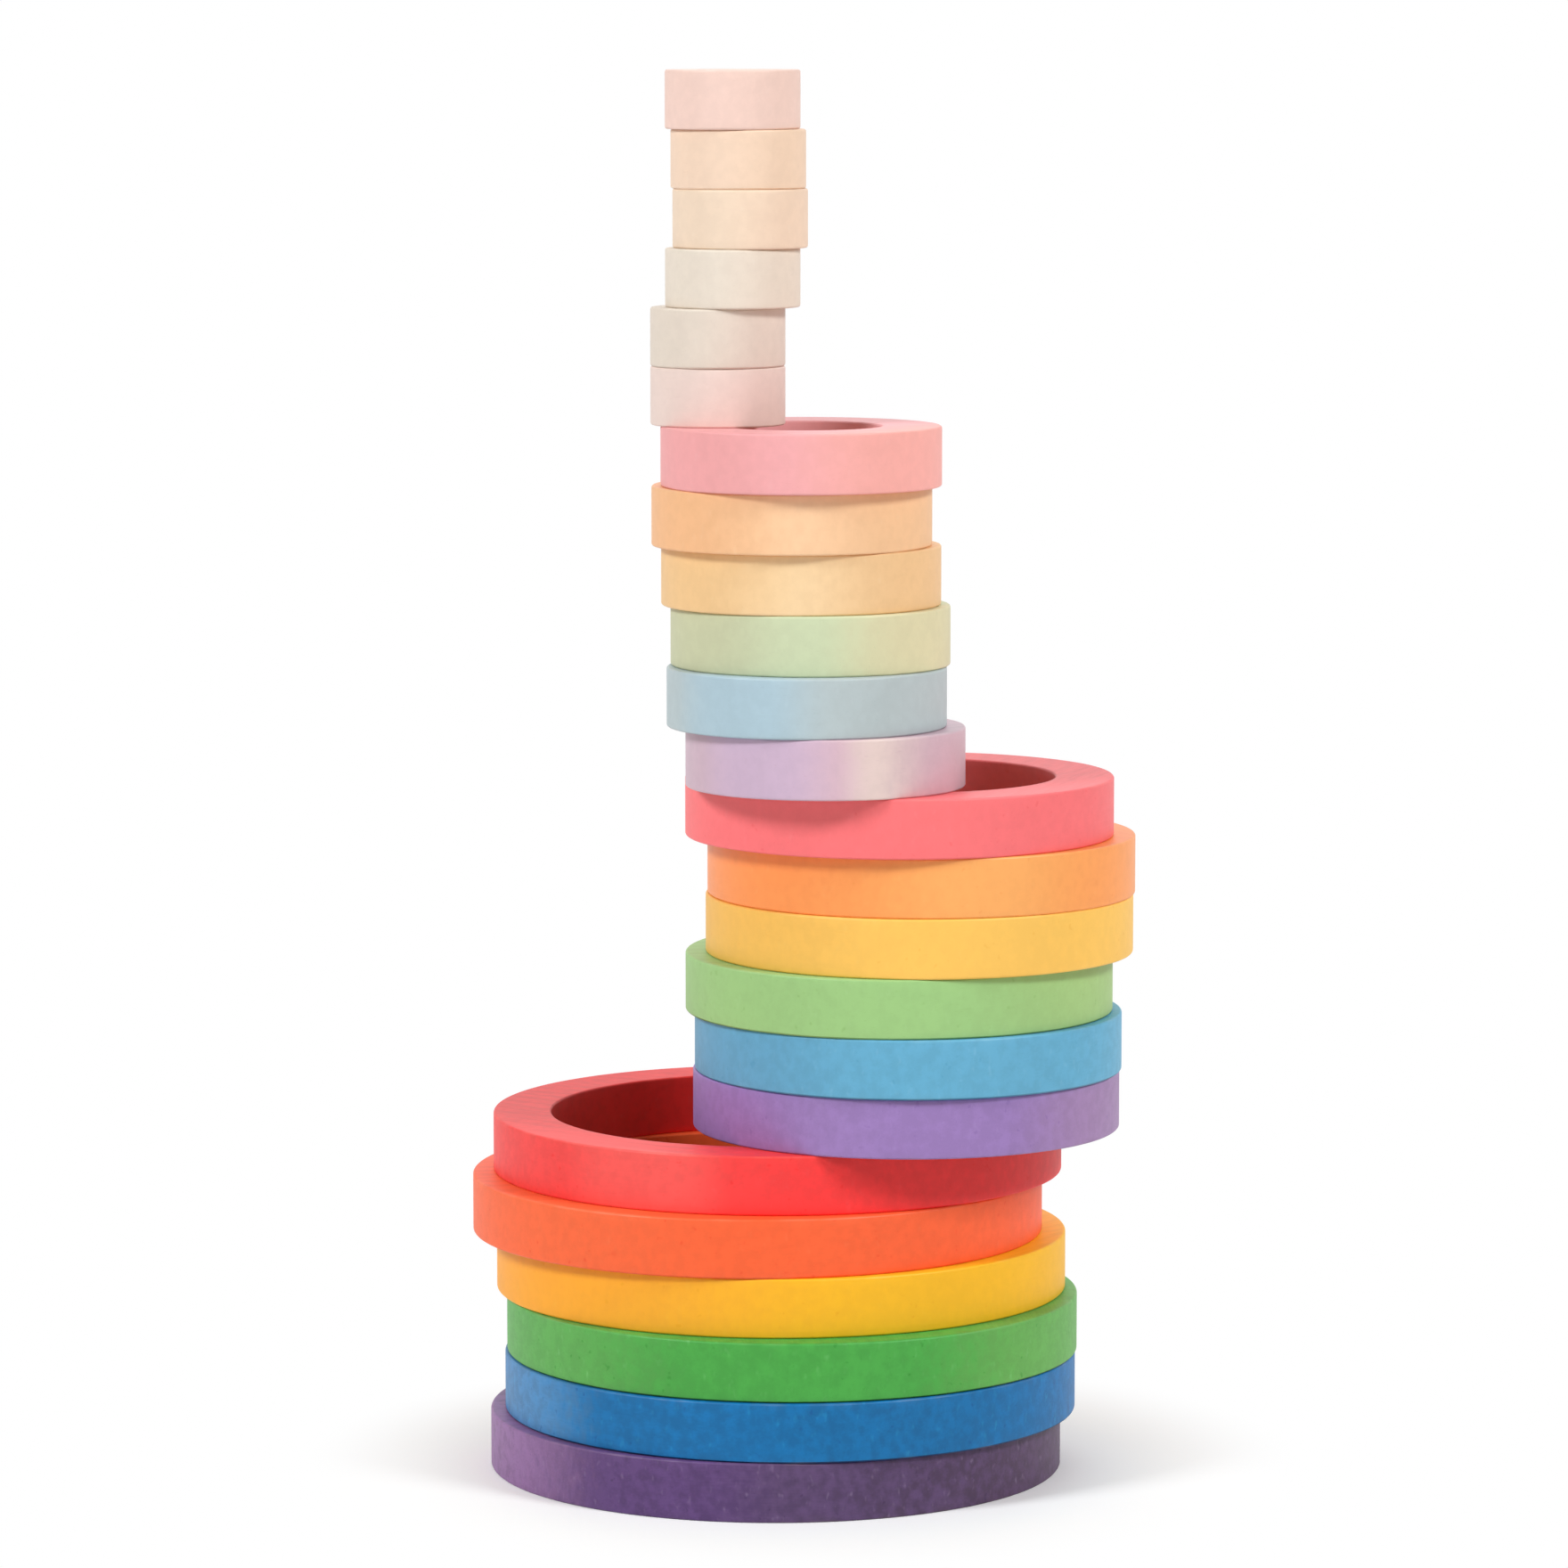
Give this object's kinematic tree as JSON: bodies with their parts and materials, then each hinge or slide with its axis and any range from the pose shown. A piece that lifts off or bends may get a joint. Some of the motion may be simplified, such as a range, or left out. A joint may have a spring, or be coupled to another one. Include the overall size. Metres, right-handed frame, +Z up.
{
  "type": "ring stacker",
  "caption": "Free-standing stack of loose dyed wooden rings with eased edges, graded in size and set off centre on one another; each ring lifts off the one below.",
  "frame": {"origin": "middle of the lowest ring's underside", "axes": "+Z up the stack; the picture's viewer stands at -Y and sees +X to the right"},
  "size_m": [0.1817, 0.1714, 0.384],
  "materials": {
    "purple_dyed_wood": "matte",
    "blue_dyed_wood": "matte",
    "green_dyed_wood": "matte",
    "yellow_dyed_wood": "matte",
    "orange_dyed_wood": "matte",
    "red_dyed_wood": "matte",
    "lilac_dyed_wood": "matte",
    "sky_blue_dyed_wood": "matte",
    "leaf_green_dyed_wood": "matte",
    "corn_yellow_dyed_wood": "matte",
    "apricot_dyed_wood": "matte",
    "coral_dyed_wood": "matte",
    "mauve_dyed_wood": "matte",
    "ice_blue_dyed_wood": "matte",
    "lime_dyed_wood": "matte",
    "butter_dyed_wood": "matte",
    "peach_dyed_wood": "matte",
    "pink_dyed_wood": "matte",
    "rose_dyed_wood": "matte",
    "sand_dyed_wood": "matte",
    "cream_dyed_wood": "matte",
    "straw_dyed_wood": "matte",
    "shell_dyed_wood": "matte",
    "blush_dyed_wood": "matte"
  },
  "bodies": {
    "large_ring_purple": {"large_ring_purple": "purple_dyed_wood"},
    "large_ring_blue": {"large_ring_blue": "blue_dyed_wood"},
    "large_ring_green": {"large_ring_green": "green_dyed_wood"},
    "large_ring_yellow": {"large_ring_yellow": "yellow_dyed_wood"},
    "large_ring_orange": {"large_ring_orange": "orange_dyed_wood"},
    "large_ring_red": {"large_ring_red": "red_dyed_wood"},
    "medium_ring_lilac": {"medium_ring_lilac": "lilac_dyed_wood"},
    "medium_ring_sky_blue": {"medium_ring_sky_blue": "sky_blue_dyed_wood"},
    "medium_ring_leaf_green": {"medium_ring_leaf_green": "leaf_green_dyed_wood"},
    "medium_ring_corn_yellow": {"medium_ring_corn_yellow": "corn_yellow_dyed_wood"},
    "medium_ring_apricot": {"medium_ring_apricot": "apricot_dyed_wood"},
    "medium_ring_coral": {"medium_ring_coral": "coral_dyed_wood"},
    "small_ring_mauve": {"small_ring_mauve": "mauve_dyed_wood"},
    "small_ring_ice_blue": {"small_ring_ice_blue": "ice_blue_dyed_wood"},
    "small_ring_lime": {"small_ring_lime": "lime_dyed_wood"},
    "small_ring_butter": {"small_ring_butter": "butter_dyed_wood"},
    "small_ring_peach": {"small_ring_peach": "peach_dyed_wood"},
    "small_ring_pink": {"small_ring_pink": "pink_dyed_wood"},
    "tiny_ring_rose": {"tiny_ring_rose": "rose_dyed_wood"},
    "tiny_ring_sand": {"tiny_ring_sand": "sand_dyed_wood"},
    "tiny_ring_cream": {"tiny_ring_cream": "cream_dyed_wood"},
    "tiny_ring_straw": {"tiny_ring_straw": "straw_dyed_wood"},
    "tiny_ring_shell": {"tiny_ring_shell": "shell_dyed_wood"},
    "tiny_ring_blush": {"tiny_ring_blush": "blush_dyed_wood"}
  },
  "joints": [
    {"name": "large_ring_blue_lift", "type": "slide", "parent": "large_ring_purple", "child": "large_ring_blue", "axis": [0, 0, 1], "range_m": [0, 0.024]},
    {"name": "large_ring_green_lift", "type": "slide", "parent": "large_ring_blue", "child": "large_ring_green", "axis": [0, 0, 1], "range_m": [0, 0.024]},
    {"name": "large_ring_yellow_lift", "type": "slide", "parent": "large_ring_green", "child": "large_ring_yellow", "axis": [0, 0, 1], "range_m": [0, 0.024]},
    {"name": "large_ring_orange_lift", "type": "slide", "parent": "large_ring_yellow", "child": "large_ring_orange", "axis": [0, 0, 1], "range_m": [0, 0.024]},
    {"name": "large_ring_red_lift", "type": "slide", "parent": "large_ring_orange", "child": "large_ring_red", "axis": [0, 0, 1], "range_m": [0, 0.024]},
    {"name": "medium_ring_lilac_lift", "type": "slide", "parent": "large_ring_red", "child": "medium_ring_lilac", "axis": [0, 0, 1], "range_m": [0, 0.024]},
    {"name": "medium_ring_sky_blue_lift", "type": "slide", "parent": "medium_ring_lilac", "child": "medium_ring_sky_blue", "axis": [0, 0, 1], "range_m": [0, 0.024]},
    {"name": "medium_ring_leaf_green_lift", "type": "slide", "parent": "medium_ring_sky_blue", "child": "medium_ring_leaf_green", "axis": [0, 0, 1], "range_m": [0, 0.024]},
    {"name": "medium_ring_corn_yellow_lift", "type": "slide", "parent": "medium_ring_leaf_green", "child": "medium_ring_corn_yellow", "axis": [0, 0, 1], "range_m": [0, 0.024]},
    {"name": "medium_ring_apricot_lift", "type": "slide", "parent": "medium_ring_corn_yellow", "child": "medium_ring_apricot", "axis": [0, 0, 1], "range_m": [0, 0.024]},
    {"name": "medium_ring_coral_lift", "type": "slide", "parent": "medium_ring_apricot", "child": "medium_ring_coral", "axis": [0, 0, 1], "range_m": [0, 0.024]},
    {"name": "small_ring_mauve_lift", "type": "slide", "parent": "medium_ring_coral", "child": "small_ring_mauve", "axis": [0, 0, 1], "range_m": [0, 0.024]},
    {"name": "small_ring_ice_blue_lift", "type": "slide", "parent": "small_ring_mauve", "child": "small_ring_ice_blue", "axis": [0, 0, 1], "range_m": [0, 0.024]},
    {"name": "small_ring_lime_lift", "type": "slide", "parent": "small_ring_ice_blue", "child": "small_ring_lime", "axis": [0, 0, 1], "range_m": [0, 0.024]},
    {"name": "small_ring_butter_lift", "type": "slide", "parent": "small_ring_lime", "child": "small_ring_butter", "axis": [0, 0, 1], "range_m": [0, 0.024]},
    {"name": "small_ring_peach_lift", "type": "slide", "parent": "small_ring_butter", "child": "small_ring_peach", "axis": [0, 0, 1], "range_m": [0, 0.024]},
    {"name": "small_ring_pink_lift", "type": "slide", "parent": "small_ring_peach", "child": "small_ring_pink", "axis": [0, 0, 1], "range_m": [0, 0.024]},
    {"name": "tiny_ring_rose_lift", "type": "slide", "parent": "small_ring_pink", "child": "tiny_ring_rose", "axis": [0, 0, 1], "range_m": [0, 0.024]},
    {"name": "tiny_ring_sand_lift", "type": "slide", "parent": "tiny_ring_rose", "child": "tiny_ring_sand", "axis": [0, 0, 1], "range_m": [0, 0.024]},
    {"name": "tiny_ring_cream_lift", "type": "slide", "parent": "tiny_ring_sand", "child": "tiny_ring_cream", "axis": [0, 0, 1], "range_m": [0, 0.024]},
    {"name": "tiny_ring_straw_lift", "type": "slide", "parent": "tiny_ring_cream", "child": "tiny_ring_straw", "axis": [0, 0, 1], "range_m": [0, 0.024]},
    {"name": "tiny_ring_shell_lift", "type": "slide", "parent": "tiny_ring_straw", "child": "tiny_ring_shell", "axis": [0, 0, 1], "range_m": [0, 0.024]},
    {"name": "tiny_ring_blush_lift", "type": "slide", "parent": "tiny_ring_shell", "child": "tiny_ring_blush", "axis": [0, 0, 1], "range_m": [0, 0.024]}
  ]
}
